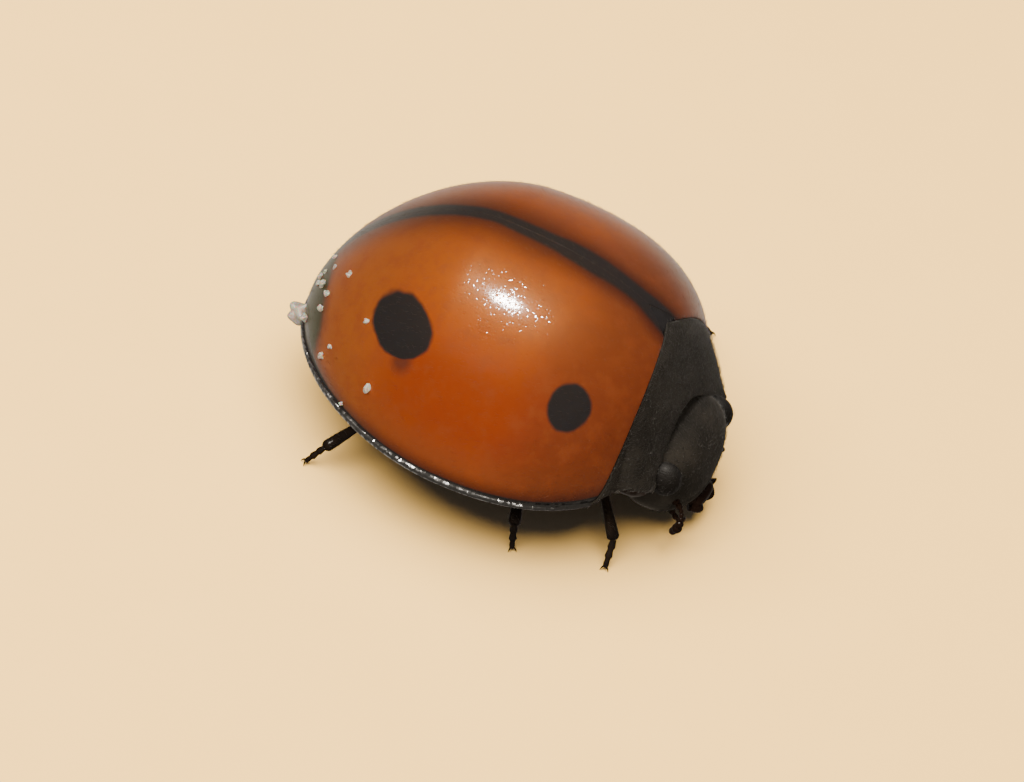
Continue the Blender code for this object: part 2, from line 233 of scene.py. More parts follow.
# rings of an ellipsoid about its x axis: a power of 2 is round, more is blockier
def blockRings(centre, radii, power=2.0, rows=40, columns=56):
    lift = (np.linspace(0, 1, rows + 2)[1:-1, None] - 0.5) * math.pi
    turn = np.linspace(0, 2 * math.pi, columns, endpoint=False)[None, :]
    bend = 2.0 / power
    slim = np.cos(lift) ** bend
    x = np.sign(np.sin(lift)) * np.abs(np.sin(lift)) ** bend * np.ones_like(turn)
    y = slim * np.sign(np.cos(turn)) * np.abs(np.cos(turn)) ** bend
    z = slim * np.sign(np.sin(turn)) * np.abs(np.sin(turn)) ** bend
    return np.stack([x, y, z], axis=-1) * radii + centre


# a smooth curve through a few points: Catmull-Rom, as an array of count points
def smoothPath(route, count):
    route = np.array(route, float)
    ends = np.concatenate([[2 * route[0] - route[1]], route, [2 * route[-1] - route[-2]]])
    place = np.linspace(0, len(route) - 1, count)
    start = np.minimum(place.astype(int), len(route) - 2)
    t = (place - start)[:, None]
    a, b, c, d = (ends[start + step] for step in range(4))
    square, cube = 2 * a - 5 * b + 4 * c - d, 3 * b - a - 3 * c + d
    return (2 * b + (c - a) * t + square * t ** 2 + cube * t ** 3) / 2


# rings round a path and square to it, each of its own radius, and flattened up and down;
# where the path is steep, forward stands in for up
def tubeRings(path, radii, columns=16, flatness=1.0):
    way = np.gradient(path, axis=0)
    way /= np.linalg.norm(way, axis=1, keepdims=True)
    up = np.array([0.0, 0.0, 1.0]) - way * way[:, 2:]
    steep = np.linalg.norm(up, axis=1, keepdims=True) < 0.15  # the sine of its slant
    sideways = np.array([1.0, 0.0, 0.0]) - way * way[:, :1]
    up = np.where(steep, sideways, up)
    up /= np.linalg.norm(up, axis=1, keepdims=True)
    across = np.cross(way, up)
    turn = np.linspace(0, 2 * math.pi, columns, endpoint=False)[None, :, None]
    radii = np.asarray(radii)[:, None, None]
    ring = across[:, None] * np.cos(turn) + up[:, None] * np.sin(turn) * flatness
    return path[:, None] + ring * radii


# radius along a limb: named stations joined by a smooth cubic step
def radiusProfile(stations, count):
    place, radius = np.array(stations).T
    t = np.linspace(0, 1, count)
    right = np.clip(np.searchsorted(place, t, side="right"), 1, len(place) - 1)
    share = np.clip((t - place[right - 1]) / (place[right] - place[right - 1]), 0, 1)
    share = share * share * (3 - 2 * share)
    return radius[right - 1] * (1 - share) + radius[right] * share


# linear colour from an sRGB hex value
def hexColour(code):
    channels = np.array([int(code[i:i + 2], 16) for i in (0, 2, 4)]) / 255
    linear = np.where(channels <= 0.04045, channels / 12.92, ((channels + 0.055) / 1.055) ** 2.4)
    return (*linear.tolist(), 1.0)


# one node with its settings and its inputs, each a value or the socket that feeds it; gives
# back one of its outputs
def addNode(tree, kind, inputs, output=0, **settings):
    node = tree.nodes.new("ShaderNode" + kind)
    for setting, value in settings.items():
        setattr(node, setting, value)
    for key, value in inputs.items():
        if isinstance(value, bpy.types.NodeSocket):
            tree.links.new(value, node.inputs[key])
        else:
            node.inputs[key].default_value = value
    return node.outputs[output]


# a material with values for its shader, where a word is a hex colour
def newMaterial(name, **shaderValues):
    material = bpy.data.materials.new(name)
    material.use_nodes = True
    shader = material.node_tree.nodes["Principled BSDF"]
    for key, value in shaderValues.items():
        value = hexColour(value) if isinstance(value, str) else value
        shader.inputs[key.replace("_", " ")].default_value = value
    return material, material.node_tree, shader


# object coordinates turned into the beetle's millimetres
def beetleSpace(tree):
    perMetre = 1 / mm
    return addNode(tree, "Mapping", {
        "Vector": addNode(tree, "TexCoord", {}, "Object"), "Scale": (perMetre,) * 3,
        "Location": tuple(-origin * perMetre)})


# base colour: hex colours laid over the first one in turn, each by its share
def layColours(tree, shader, first, layers):
    colour = hexColour(first)
    for code, share in layers:
        colour = addNode(tree, "Mix", {0: share, 6: colour, 7: hexColour(code)}, 2, data_type="RGBA")
    tree.links.new(colour, shader.inputs["Base Color"])


# several shares joined in one by an operation on each in turn
def joined(tree, operation, shares):
    total = shares[0]
    for share in shares[1:]:
        total = addNode(tree, "Math", {0: total, 1: share}, operation=operation)
    return total


# normals tilted cell by cell, at a size in millimetres: most a little, a few a lot, like the
# net of tiny facets on hard chitin, which is drawn as coarse as it needs to show
def facetNormals(tree, where, normal, looks):
    cells = addNode(tree, "TexVoronoi", {"Vector": where, "Scale": 1 / looks["facetSize"]}, "Color")
    signed = addNode(tree, "VectorMath", {
        0: cells, 1: (2.0,) * 3, 2: (-1.0,) * 3}, operation="MULTIPLY_ADD")
    steep = addNode(tree, "VectorMath", {0: signed}, operation="ABSOLUTE")
    steep = addNode(tree, "VectorMath", {
        0: steep, 1: (looks["facetPower"] - 1,) * 3}, operation="POWER")
    leaning = addNode(tree, "VectorMath", {0: signed, 1: steep}, operation="MULTIPLY")
    leaning = addNode(tree, "VectorMath", {
        0: leaning, 1: (looks["facetTilt"],) * 3, 2: normal}, operation="MULTIPLY_ADD")
    return addNode(tree, "VectorMath", {0: leaning}, operation="NORMALIZE")


# fine pits with a grain between them, as a bump of real depth; both are spaced as widely as
# they need to show
def pittedBump(tree, shader, where, looks):
    cells = addNode(tree, "TexVoronoi", {
        "Vector": where, "Scale": 1 / looks["pitSpacing"], "Randomness": 0.8})
    pits = addNode(tree, "MapRange", {
        "Value": cells, "From Max": 0.32}, interpolation_type="SMOOTHSTEP")  # a third of the way to the next
    grain = addNode(tree, "TexNoise", {"Vector": where, "Scale": 1 / looks["grainSize"]})
    bump = addNode(tree, "Bump", {"Height": pits, "Distance": looks["pitDepth"] * mm})
    bump = addNode(tree, "Bump", {"Height": grain, "Distance": looks["grainDepth"] * mm, "Normal": bump})
    for socket in ("Normal", "Coat Normal"):
        tree.links.new(bump, shader.inputs[socket])
    return bump


# a value read off a curve over the body's length, from the most that it reaches and then its
# points, each a place and the value there
def curveAlong(tree, x, most, *points):
    span = 4.0  # the length that the curve covers, in millimetres
    share = addNode(tree, "Math", {0: x, 1: span}, operation="DIVIDE")
    reading = addNode(tree, "FloatCurve", {"Value": share, "Factor": 1.0})
    mapping = reading.node.mapping
    knots = mapping.curves[0].points
    while len(knots) < len(points):
        knots.new(0.5, 0.5)
    for knot, (place, value) in zip(knots, points):
        knot.location = (place / span, value / most)
    mapping.update()
    return addNode(tree, "Math", {0: reading, 1: most}, operation="MULTIPLY")


# distance past a line that wavers a little about such a curve
def pastLine(tree, x, place, wobble, shift, curve):
    place = addNode(tree, "Math", {0: wobble, 1: shift, 2: place}, operation="MULTIPLY_ADD")
    return addNode(tree, "Math", {0: place, 1: curveAlong(tree, x, *curve)}, operation="SUBTRACT")


# distance from the centre of an ellipsoid, 1 on its surface, made uneven by some noise
def ellipsoidReach(tree, where, centre, radii, noise, shift):
    local = addNode(tree, "Mapping", {
        "Vector": where, "Location": centre, "Scale": radii}, vector_type="TEXTURE")
    reach = addNode(tree, "VectorMath", {0: local}, "Value", operation="LENGTH")
    return addNode(tree, "Math", {0: noise, 1: shift, 2: reach}, operation="MULTIPLY_ADD")


# distance up from the tail, 1 on the edge of its patch, a dark tip with a painted green reflection: a
# superellipse in width and height
def tailPatchReach(tree, folded, wobble, looks):
    power = looks["patchPower"]
    sides = (0.0, 1 / looks["patchHalfWidth"], 1 / looks["patchHeight"])
    scaled = addNode(tree, "VectorMath", {0: folded, 1: sides}, operation="MULTIPLY")
    powered = addNode(tree, "VectorMath", {0: scaled, 1: (power,) * 3}, operation="POWER")
    total = addNode(tree, "VectorMath", {0: powered, 1: (1.0,) * 3}, "Value", operation="DOT_PRODUCT")
    reach = addNode(tree, "Math", {0: total, 1: 1 / power}, operation="POWER")
    return addNode(tree, "Math", {0: wobble, 1: looks["patchShift"], 2: reach}, operation="MULTIPLY_ADD")


caseLooks = {
    # front is painted shade: a browner red that darkens the front of the wing cases
    "disc": "c05b14", "margin": "a0502a", "tail": "b4622a", "flank": "a0401e", "front": "7e4026",
    # patch: the dark tail tip, its olive green a painted reflection
    "dusk": "33191a", "patch": "3a3d1c", "black": "2d2b2d", "hair": "b8a488", "hairShare": 0.15,
    "roughness": 0.42, "coat": 0.22, "coatRoughness": 0.10, "gloss": 0.09, "glossTint": "ffc27a",
    "sheen": 0.40, "sheenRoughness": 0.3, "sheenTint": "e6dfc4",
    "translucence": 0.12, "lightDepth": 0.12, "lightSpread": (1.0, 0.35, 0.12),
    # patterns by their size and depth in millimetres
    "mottleSize": 0.625, "speckSize": 0.20, "waverSize": 0.3125, "waver": 0.28,
    # how far the mottling and the waver shift the edges of the colours
    "mottleShift": 0.5, "discShift": 1.1, "lineShift": 0.10, "patchShift": 0.5,
    "pitSpacing": 0.045, "pitDepth": 0.0010, "grainSize": 0.05, "grainDepth": 0.0003,
    "facetSize": 0.014, "facetTilt": 0.17, "facetPower": 16.0,
    # each share of colour: where it begins, where it is full, and how strong it is there
    "shares": {
        # front: the share of the painted shade, rising along the body towards the front edge
        "margin": (0.80, 1.75, 1.0), "tail": (2.1, 1.1, 0.85), "front": (2.75, 3.55, 0.75),
        "flankTop": (1.6, 1.0, 0.85), "flankFoot": (0.25, 0.70, 1.0), "flankRear": (0.9, 1.8, 1.0),
        # patch: the dark tail tip with its painted green reflection
        "specks": (0.42, 0.70, 0.50), "patch": (1.06, 0.94, 1.0), "patchDusk": (1.16, 0.95, 0.75),
        "seam": (0.035, -0.035, 1.0), "seamDusk": (1.0, -0.15, 0.75),
        "rim": (0.014, -0.014, 1.0), "rimDusk": (0.20, -0.05, 0.75),
        "rearSpot": (1.06, 0.94, 1.0), "rearSpotTail": (1.60, 0.40, 0.6), "frontSpot": (1.07, 0.93, 1.0),
    },
    # centre and radii of the bright disc and of the dark spots, with y outwards
    "discAt": ((1.95, 1.0, 1.25), (1.85, 1.15, 1.5)),
    "spots": {
        "rearSpot": ((1.298, 1.496, 1.235), (0.466, 0.555, 0.311)),
        "rearSpotTail": ((1.54, 1.48, 0.97), (0.11, 0.13, 0.13)),
        "frontSpot": ((3.287, 1.396, 1.187), (0.274, 0.300, 0.349)),
    },
    # curves along the body, each after the most it reaches: half-width of the dark seam, width
    # of the dusk beside it, and height of the dark rim
    "seamWidth": (0.25, (0.0, 0.10), (1.2, 0.098), (1.9, 0.095), (2.3, 0.108), (2.65, 0.135),
                  (3.0, 0.122), (3.24, 0.108), (3.45, 0.135), (3.59, 0.15)),
    "duskWidth": (0.6, (0.0, 0.40), (2.0, 0.42), (2.6, 0.30), (3.0, 0.22), (3.6, 0.20)),
    "rimHeight": (0.8, (0.0, 0.36), (0.3, 0.27), (0.45, 0.19), (0.75, 0.12), (1.1, 0.10),
                  (1.6, 0.09), (3.2, 0.088), (3.75, 0.10)),
    "patchHalfWidth": 1.0, "patchHeight": 0.77, "patchPower": 3.0,
}


# Elytral chitin: a horny sheet hardened from a pale moult and tanned from inside, so the
# amber has depth and mottling under a waxy gloss that tiny facets break into sparks. Every
# share of colour rises smoothly from 0 as some value passes between its two places. The
# browner front is painted shade, and the dark tail patch owes its olive green to a painted
# reflection.
def amberChitin(name, hair=False):
    looks = caseLooks
    shine = 0.0 if hair else 1.0  # the hairs have no gloss of their own
    material, tree, shader = newMaterial(
        name, Roughness=looks["roughness"], IOR=1.56, Specular_IOR_Level=looks["gloss"] * shine,
        Specular_Tint=looks["glossTint"], Coat_Weight=looks["coat"] * shine, Coat_IOR=1.5,
        Coat_Roughness=looks["coatRoughness"], Sheen_Weight=looks["sheen"] * shine,
        Sheen_Roughness=looks["sheenRoughness"], Sheen_Tint=looks["sheenTint"],
        Subsurface_Weight=looks["translucence"], Subsurface_Radius=looks["lightSpread"],
        Subsurface_Scale=looks["lightDepth"] * mm)
    where = beetleSpace(tree)
    folded = addNode(tree, "VectorMath", {0: where}, operation="ABSOLUTE")  # one side like the other
    x, y = addNode(tree, "SeparateXYZ", {0: folded}).node.outputs[:2]
    z = addNode(tree, "SeparateXYZ", {0: where}, "Z")
    mottle = addNode(tree, "TexNoise", {
        "Vector": where, "Scale": 1 / looks["mottleSize"], "Detail": 4.0, "Roughness": 0.55,
        "Distortion": 0.4})
    specks = addNode(tree, "TexNoise", {
        "Vector": where, "Scale": 1 / looks["speckSize"], "Detail": 4.0, "Roughness": 0.65})
    uneven = addNode(tree, "TexNoise", {"Vector": where, "Scale": 1 / looks["waverSize"]})
    waver = looks["waver"]
    wobble = addNode(tree, "Math", {0: uneven, 1: waver, 2: -waver / 2}, operation="MULTIPLY_ADD")
    along = addNode(tree, "Math", {0: mottle, 1: looks["mottleShift"], 2: x}, operation="MULTIPLY_ADD")
    patch = tailPatchReach(tree, folded, wobble, looks)
    seam = pastLine(tree, x, y, wobble, looks["lineShift"], looks["seamWidth"])
    rim = pastLine(tree, x, z, wobble, looks["lineShift"], looks["rimHeight"])
    besideSeam = addNode(tree, "Math", {
        0: seam, 1: curveAlong(tree, x, *looks["duskWidth"])}, operation="DIVIDE")
    places = {
        "margin": ellipsoidReach(tree, folded, *looks["discAt"], mottle, looks["discShift"]),
        "specks": specks, "tail": along, "front": along, "flankTop": z, "flankFoot": z, "flankRear": x,
        "patch": patch, "patchDusk": patch, "seam": seam, "seamDusk": besideSeam,
        "rim": rim, "rimDusk": rim}
    for spot, ellipsoid in looks["spots"].items():
        places[spot] = ellipsoidReach(tree, folded, *ellipsoid, wobble, 1.0)
    share = {}
    for part, (begins, full, most) in looks["shares"].items():
        share[part] = addNode(tree, "MapRange", {
            "Value": places[part], "From Min": begins, "From Max": full, "To Max": most},
            interpolation_type="SMOOTHSTEP")
    flank = joined(tree, "MULTIPLY", [share["flankTop"], share["flankFoot"], share["flankRear"]])
    dusk = joined(tree, "MAXIMUM", [share["seamDusk"], share["rimDusk"], share["patchDusk"]])
    black = joined(tree, "MAXIMUM", [share[part] for part in ("seam", "rim", *looks["spots"])])
    layers = [("margin", share["margin"]), ("tail", share["tail"]), ("flank", flank),
              # front lays painted shade over the front of the wing cases
              ("front", share["front"]), ("margin", share["specks"]), ("dusk", dusk),
              # patch lays the dark tail tip, tinted olive by a painted green reflection
              ("patch", share["patch"]), ("black", black)]
    if hair:  # it carries the marks of the skin under it, a little paler
        layers.append(("hair", looks["hairShare"]))
    layColours(tree, shader, looks["disc"], [(looks[layer], amount) for layer, amount in layers])
    if not hair:
        bump = pittedBump(tree, shader, where, looks)
        tree.links.new(facetNormals(tree, where, bump, looks), shader.inputs["Coat Normal"])
    return material


plateLooks = {
    "shadeSize": 1 / 2.2, "grainSize": 1 / 70, "grainDepth": 0.002,  # millimetres
    "coatRoughness": 0.22, "sheenRoughness": 0.35, "sheenTint": "c9c2b5",
    "pronotal_chitin": {"dark": "2b2824", "light": "3c3832", "roughness": 0.68, "coat": 0.0,
                        "sheen": 0.50, "gloss": 0.06, "pitSpacing": 0.042, "pitDepth": 0.003},
    "head_chitin": {"dark": "312e29", "light": "433e37", "roughness": 0.80, "coat": 0.0,
                    "sheen": 0.30, "gloss": 0.03, "pitSpacing": 0.035, "pitDepth": 0.0025},
    "scutellar_chitin": {"dark": "272526", "light": "312e2f", "roughness": 0.60, "coat": 0.0,
                         "sheen": 0.30, "gloss": 0.04, "pitSpacing": 0.045, "pitDepth": 0.002},
    "sternal_chitin": {"dark": "261c16", "light": "38271c", "roughness": 0.50, "coat": 0.03,
                       "sheen": 0.10, "gloss": 0.02, "pitSpacing": 0.05, "pitDepth": 0.003},
    "leg_chitin": {"dark": "1d1815", "light": "2f241c", "roughness": 0.55, "coat": 0.08,
                   "sheen": 0.0, "gloss": 0.0, "pitSpacing": 0.03, "pitDepth": 0.0015},
    "feeler_chitin": {"dark": "20150f", "light": "30211a", "roughness": 0.50, "coat": 0.12,
                      "sheen": 0.0, "gloss": 0.0, "pitSpacing": 0.03, "pitDepth": 0.001},
}


# Body chitin: thick, dark and closely pitted, so it looks dull beside the wing cases, with
# the pale bloom of its down at the edges
def darkChitin(name):
    looks = {**plateLooks, **plateLooks[name]}
    material, tree, shader = newMaterial(
        name, Roughness=looks["roughness"], IOR=1.56, Specular_IOR_Level=looks["gloss"],
        Coat_Weight=looks["coat"], Coat_Roughness=looks["coatRoughness"], Sheen_Weight=looks["sheen"],
        Sheen_Roughness=looks["sheenRoughness"], Sheen_Tint=looks["sheenTint"])
    where = beetleSpace(tree)
    cloud = addNode(tree, "TexNoise", {
        "Vector": where, "Scale": 1 / looks["shadeSize"], "Detail": 4.0, "Roughness": 0.6})
    shade = addNode(tree, "MapRange", {
        "Value": cloud, "From Min": 0.35, "From Max": 0.70}, interpolation_type="SMOOTHSTEP")
    layColours(tree, shader, looks["dark"], [(looks["light"], shade)])
    pittedBump(tree, shader, where, looks)
    return material


rimLooks = {
    "colour": "12100e", "roughness": 0.36, "waveSize": 1 / 12, "waveDepth": 0.008,
    "facetSize": 0.032, "facetTilt": 0.35, "facetPower": 1.5,
}


# Rim chitin: the thick black bead round the wing cases, rubbed smooth, so it glints in pieces
def rimChitin():
    looks = rimLooks
    material, tree, shader = newMaterial(
        "rim_chitin", Base_Color=looks["colour"], Roughness=looks["roughness"], IOR=1.56,
        Specular_IOR_Level=1.0, Coat_Weight=1.0, Coat_Roughness=looks["roughness"])
    where = beetleSpace(tree)
    waves = addNode(tree, "TexNoise", {"Vector": where, "Scale": 1 / looks["waveSize"]})
    bump = addNode(tree, "Bump", {"Height": waves, "Distance": looks["waveDepth"] * mm})
    facets = facetNormals(tree, where, bump, looks)
    for socket in ("Normal", "Coat Normal"):
        tree.links.new(facets, shader.inputs[socket])
    return material


eyeLooks = {
    "colour": "211e1b", "roughness": 0.65, "coat": 0.01, "coatRoughness": 0.3, "gloss": 0.1,
    "lensSize": 0.018, "lensDepth": 0.004,
}


# Compound eye: hundreds of clear lenses over dark pigment, a fine grid under a thin clear
# layer; the lenses are drawn a little larger than life, so that they show
def eyeFacets():
    looks = eyeLooks
    material, tree, shader = newMaterial(
        "eye_facets", Base_Color=looks["colour"], Roughness=looks["roughness"], IOR=1.5,
        Specular_IOR_Level=looks["gloss"], Coat_Weight=looks["coat"], Coat_Roughness=looks["coatRoughness"])
    cells = addNode(tree, "TexVoronoi", {
        "Vector": beetleSpace(tree), "Scale": 1 / looks["lensSize"], "Randomness": 0.12})
    domes = addNode(tree, "Math", {0: 1.0, 1: cells}, operation="SUBTRACT")
    bump = addNode(tree, "Bump", {"Height": domes, "Distance": looks["lensDepth"] * mm})
    tree.links.new(bump, shader.inputs["Normal"])
    return material


hairLooks = {"dark": "33302b", "light": "45403a", "roughness": 0.42, "toneSize": 1 / 30}


# Down: fine hairs of clear chitin over dark skin, which they take their tone from
def downHair():
    looks = hairLooks
    material, tree, shader = newMaterial("seta_chitin", Roughness=looks["roughness"], IOR=1.55)
    tone = addNode(tree, "TexNoise", {"Vector": beetleSpace(tree), "Scale": 1 / looks["toneSize"]})
    layColours(tree, shader, looks["dark"], [(looks["light"], tone)])
    return material


waxLooks = {
    "dull": "dccbb2", "light": "fbefdd", "roughness": 0.45, "translucence": 0.5, "lightDepth": 0.06,
    "toneSize": 0.04, "crumbleSize": 1 / 60, "crumbleDepth": 0.008,
}


# Scale-insect wax: matt white crumbs that light shines into
def waxCrumb():
    looks = waxLooks
    material, tree, shader = newMaterial(
        "insect_wax", Roughness=looks["roughness"], IOR=1.44, Subsurface_Weight=looks["translucence"],
        Subsurface_Scale=looks["lightDepth"] * mm)
    where = beetleSpace(tree)
    tone, crumble = (addNode(tree, "TexNoise", {"Vector": where, "Scale": 1 / looks[size], "Detail": 3.0})
                     for size in ("toneSize", "crumbleSize"))
    layColours(tree, shader, looks["dull"], [(looks["light"], tone)])
    bump = addNode(tree, "Bump", {"Height": crumble, "Distance": looks["crumbleDepth"] * mm})
    tree.links.new(bump, shader.inputs["Normal"])
    return material


amber, amberHair = amberChitin("elytral_chitin"), amberChitin("case_seta_chitin", hair=True)
pronotumFinish, headFinish = darkChitin("pronotal_chitin"), darkChitin("head_chitin")
scutellumFinish, bellyFinish = darkChitin("scutellar_chitin"), darkChitin("sternal_chitin")
legFinish, feelerFinish = darkChitin("leg_chitin"), darkChitin("feeler_chitin")
eyeFinish, darkHair, waxFinish, rimFinish = eyeFacets(), downHair(), waxCrumb(), rimChitin()
print("materials made")


caseShape = {
    "rows": 190, "columns": 130, "crowding": 1.5, "thickness": 0.07,  # crowding: of rows at the tail
    "beadRadius": 0.042, "beadInset": 0.034, "insetFade": 0.16,  # the rim's bead and the gutter above it
    "rimHeight": 0.075,  # the polished finish reaches this far up
    "bodyCentre": (2.0, 0.0, 0.0),  # the outer faces look away from here
    "edgeRoll": 0.004,  # rounding where the cases meet the neck shield
    "seamGap": 0.0012, "flange": 0.22, "flangeHeight": 0.05,
}


# quarter-round: how far a surface is drawn in at a distance from its edge
def edgeRoll(distance, radius):
    inside = np.clip(radius - distance, 0.0, radius)
    return radius - np.sqrt(radius ** 2 - inside ** 2)


# outer face of a wing case: rings of the dome from rim to suture, drawn in along the rim's
# gutter and rounded at the edges; angle runs across and along runs from tail to base
def wingCaseGrid(side):
    shape = caseShape
    start = dome["tailStart"]
    along = easedSteps(shape["rows"], shape["crowding"])[:, None]
    rise = easedSteps(shape["columns"], 1.0)[None, :]
    sutureX = start + (dome["baseAt"] - start) * along
    clearance = scutellumHalfWidth(sutureX) + shape["seamGap"]
    ratio = np.clip(clearance / domeHalfWidth(sutureX), 0.0, 0.9)
    topAngle = np.arccos(ratio ** (dome["roundness"] / 2))
    topAngle = np.where(sutureX > scutellum["tipAt"], topAngle, math.pi / 2)
    angle = topAngle * rise
    x = start + (frontEdge(angle) - start) * along
    y, z = arch(domeHalfWidth(x), domeHeight(x), angle)
    surface = np.stack([x, y + shape["seamGap"], z], axis=-1)
    normals = outwardNormals(surface, shape["bodyCentre"])
    up = arcLength(surface, 1)
    forward = arcLength(surface, 0)
    fromBase = forward[-1:] - forward
    radius, inset = shape["beadRadius"], shape["beadInset"]
    beadTop = radius + math.sqrt(radius ** 2 - (radius - inset) ** 2)
    bead = radius - np.sqrt(np.maximum(radius ** 2 - (up - radius) ** 2, 0))
    gutter = inset * np.exp(-(up - beadTop) / shape["insetFade"])
    drawnIn = np.where(up < beadTop, bead, gutter)
    drawnIn = drawnIn + edgeRoll(fromBase, shape["edgeRoll"])
    outer = surface - normals * drawnIn[..., None]
    flange = shape["flange"] * np.exp(-(up / shape["flangeHeight"]) ** 2)
    inner = surface - normals * (shape["thickness"] + flange)[..., None]
    outer[..., 1] = np.maximum(outer[..., 1], shape["seamGap"] / 2)
    inner[..., 1] = np.maximum(inner[..., 1], shape["seamGap"])
    inner[..., 2] = np.maximum(inner[..., 2], 0.0)
    inner[..., 0] = np.maximum(inner[..., 0], 0.0)
    outer[..., 2] = np.maximum(outer[..., 2], 0.0)
    flip = np.array([1, side, 1])
    return outer * flip, inner * flip, normals * flip


cases = {}
for side, name in ((1, "Left"), (-1, "Right")):
    outer, inner, normals = wingCaseGrid(side)
    shellPiece("wingCase" + name, outer, inner, amber, "elytron_chitin", ("elytron_" + name.lower(),),
               rim=(rimFinish, caseShape["rimHeight"]))
    cases[name] = (outer, normals)


# the triangle between the wing cases' bases: the dome's crest, a little sunk and crowned
def scutellumPlate():
    shape = scutellum
    start, end = shape["tipAt"] + shape["tipInset"], dome["baseAt"] + shape["baseReach"]
    x = np.linspace(start, end, shape["rows"])[:, None]
    across = np.linspace(-1, 1, shape["columns"])[None, :]
    y = (scutellumHalfWidth(x) + shape["overlap"]) * across
    crest = domeHeight(x) - shape["drop"] - shape["crown"] * across ** 2
    outer = np.stack([x * np.ones_like(across), y, crest], axis=-1)
    inner = outer - np.array([0, 0, shape["thickness"]])
    shellPiece("scutellumPlate", outer, inner, scutellumFinish, "pronotum_chitin", ("scutellum",))


scutellumPlate()
print("wing cases and scutellum made")


shieldShape = {
    "rows": 110, "columns": 150, "gap": 0.006, "shoulderAt": 3.760,
    "widthEndsAt": 4.500, "widthPower": 1.70, "heightEndsAt": 4.065, "heightPower": 1.205,
    "frontAt": 4.077, "browPullBack": 0.11, "leastHeight": 0.04, "thickness": 0.05,
    "margin": 0.13, "liftedAt": 0.5,  # the side margins' lift, and the share of the length where it is full
    "edgeRoll": 0.022, "baseRoll": 0.006,
}


# the dome carried on forward from the wing cases' front edge, narrowing and falling to the
# head along two tapers; its front edge is drawn back over the brow
def neckShieldGrid():
    shape = shieldShape
    angle = np.linspace(0, math.pi, shape["columns"])[None, :]
    along = np.sin(np.linspace(0, math.pi / 2, shape["rows"]))[:, None]
    edge = frontEdge(np.minimum(angle, math.pi - angle)) + shape["gap"]
    front = shape["frontAt"] - shape["browPullBack"] * np.sin(angle) ** 3
    x = edge + (front - edge) * along
    baseX = np.minimum(x, shape["shoulderAt"])
    narrowing = taper(x, shape["shoulderAt"], shape["widthEndsAt"], shape["widthPower"])
    lowering = taper(x, shape["shoulderAt"], shape["heightEndsAt"], shape["heightPower"])
    lift = shape["margin"] * np.clip(along / shape["liftedAt"], 0.0, 1.0)
    arched = np.maximum(domeHeight(baseX) * lowering - lift, shape["leastHeight"])
    y, z = arch(domeHalfWidth(baseX) * narrowing, arched, angle)
    surface = np.stack([x, y, z + lift], axis=-1)
    normals = outwardNormals(surface, caseShape["bodyCentre"])
    across = arcLength(surface, 1)
    forward = arcLength(surface, 0)
    drawnIn = edgeRoll(forward, shape["baseRoll"])
    for fromEdge in (across, across[:, -1:] - across, forward[-1:] - forward):
        drawnIn = drawnIn + edgeRoll(fromEdge, shape["edgeRoll"])
    outer = surface - normals * drawnIn[..., None]
    inner = surface - normals * shape["thickness"]
    return outer, inner, normals


shieldOuter, shieldInner, shieldNormals = neckShieldGrid()
shellPiece("neckShield", shieldOuter, shieldInner, pronotumFinish, "pronotum_chitin", ("pronotum",))

prothorax = {"centre": (3.76, 0.0, 0.10), "radii": (0.30, 0.86, 0.34), "power": 2.8}
loftPiece("prosternum", blockRings(**prothorax), bellyFinish, "sternite_chitin")
print("neck shield made")


bellyShape = {
    "rows": 150, "columns": 72, "clearance": 0.27, "leastHalfWidth": 0.05, "depth": 0.29,
    "deepestAt": 2.5, "fadesOutAt": 0.22, "power": 2.3,
    "top": 0.35, "topSwell": 0.10, "topSlope": 1.6,  # rise of the top, and the half-width it is drawn for
    "lap": 0.022, "lapFade": 0.12, "lapLevel": 0.4,  # each plate's step out, and how it dies away
    "sternites": (0.34, 0.62, 0.86, 1.12, 1.42, 2.06),  # edges of the belly's plates
    "breastplates": (2.07, 2.98, 3.55),
}


# rings along the belly, as wide as the dome but for a clearance: low-topped inside the wing
# cases, a power of a sine below, and each plate stepped out at its rear edge like roof tiles
def bellyRings(seams, fadesOutAt):
    shape = bellyShape
    x = np.linspace(seams[0], seams[-1], shape["rows"])[:, None]
    turn = np.linspace(0, 2 * math.pi, shape["columns"], endpoint=False)[None, :]
    seams = np.array(seams)
    plate = np.clip(np.searchsorted(seams, x[:, 0], side="right") - 1, 0, len(seams) - 2)
    share = (x[:, 0] - seams[plate]) / (seams[plate + 1] - seams[plate])
    step = shape["lap"] * (np.exp(-share / shape["lapFade"]) - shape["lapLevel"])[:, None]
    halfWidth = np.maximum(domeHalfWidth(x) - shape["clearance"], shape["leastHalfWidth"])
    depth = shape["depth"] * taper(x, shape["deepestAt"], fadesOutAt, 2.0) + step
    y = halfWidth * np.cos(turn)
    below = -depth * np.abs(np.sin(turn)) ** shape["power"]
    above = (shape["top"] + shape["topSwell"] * np.cos(turn) ** 2) * np.abs(np.sin(turn))
    above = above * halfWidth / shape["topSlope"]
    z = np.where(np.sin(turn) < 0, below, above)
    return np.stack([np.broadcast_to(x, y.shape), y, z], axis=-1)


abdomenRings = bellyRings(bellyShape["sternites"], bellyShape["fadesOutAt"])
loftPiece("belly", abdomenRings, bellyFinish, "sternite_chitin", ("abdomen",))
breastRings = bellyRings(bellyShape["breastplates"], 0.0)
loftPiece("breast", breastRings, bellyFinish, "sternite_chitin", ("thorax",))
print("underside made")


headShape = {
    "block": {"centre": (3.92, 0.0, -0.01), "radii": (0.42, 0.67, 0.51), "power": 2.4,
              "rows": 70, "columns": 96},
    "faceFrom": 4.0, "faceDepth": 0.3,  # the features come in over this stretch
    # each feature's depth, its height, and its half-width and half-height
    "groove": {"depth": 0.018, "at": -0.26, "sag": 0.12, "halfHeight": 0.022},
    "browDip": {"depth": 0.020, "at": 0.12, "halfWidth": 0.20, "halfHeight": 0.25},
    "muzzle": {"depth": 0.030, "at": -0.36, "halfWidth": 0.30, "halfHeight": 0.12},
}


